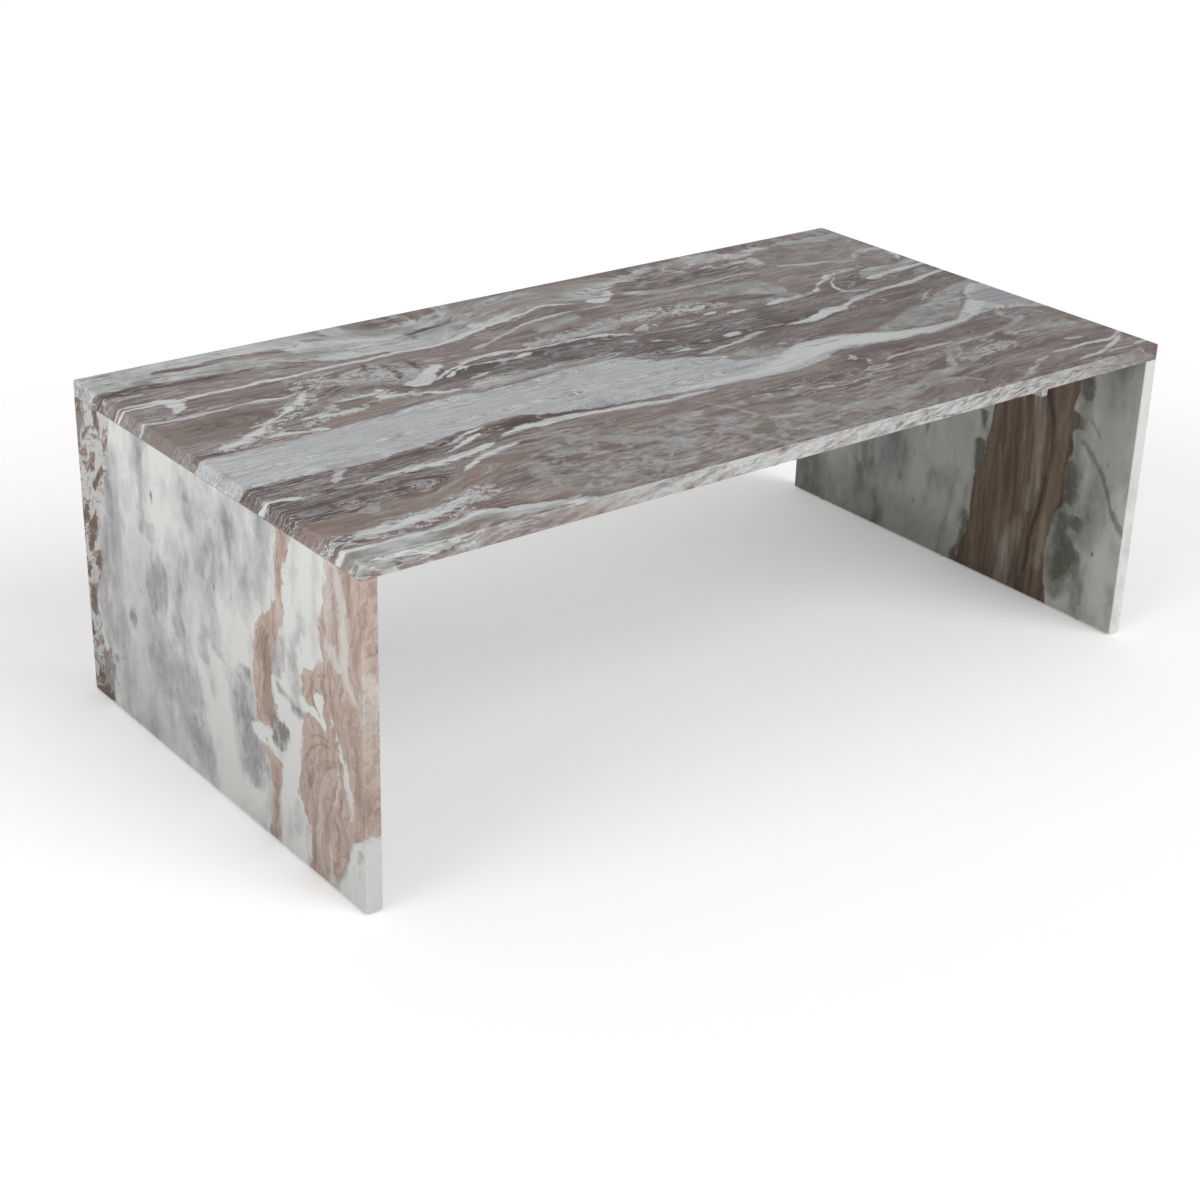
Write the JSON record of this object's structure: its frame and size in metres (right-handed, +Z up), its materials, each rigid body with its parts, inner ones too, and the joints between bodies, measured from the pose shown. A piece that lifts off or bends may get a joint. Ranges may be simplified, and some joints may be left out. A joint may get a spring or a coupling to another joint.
{
  "type": "coffee table",
  "caption": "Low rectangular marble coffee table: a polished slab top carried by full-depth slab panels at its ends, open underneath for feet or storage.",
  "frame": {"origin": "on the floor, under the middle of the top", "axes": "+X along the length, +Y towards the back, +Z up"},
  "size_m": [1.2, 0.632, 0.41],
  "materials": {
    "top_marble": "polished marble with brown, plum and blue-grey bands",
    "panel_marble": "polished white and grey marble with brown veins",
    "rib_marble": "honed pale marble",
    "joint_resin": "cured stone adhesive",
    "dowel_steel": "bright stainless steel",
    "glide_felt": "needled felt"
  },
  "bodies": {
    "root": {"top_slab": "top_marble", "left_panel": "panel_marble", "left_rib": "rib_marble", "right_panel": "panel_marble", "right_rib": "rib_marble", "left_joint_resin": "joint_resin", "left_rib_resin": "joint_resin", "right_joint_resin": "joint_resin", "right_rib_resin": "joint_resin", "left_front_dowel": "dowel_steel", "left_middle_dowel": "dowel_steel", "left_back_dowel": "dowel_steel", "right_front_dowel": "dowel_steel", "right_middle_dowel": "dowel_steel", "right_back_dowel": "dowel_steel", "left_front_glide": "glide_felt", "left_middle_glide": "glide_felt", "left_back_glide": "glide_felt", "right_front_glide": "glide_felt", "right_middle_glide": "glide_felt", "right_back_glide": "glide_felt"}
  },
  "joints": []
}
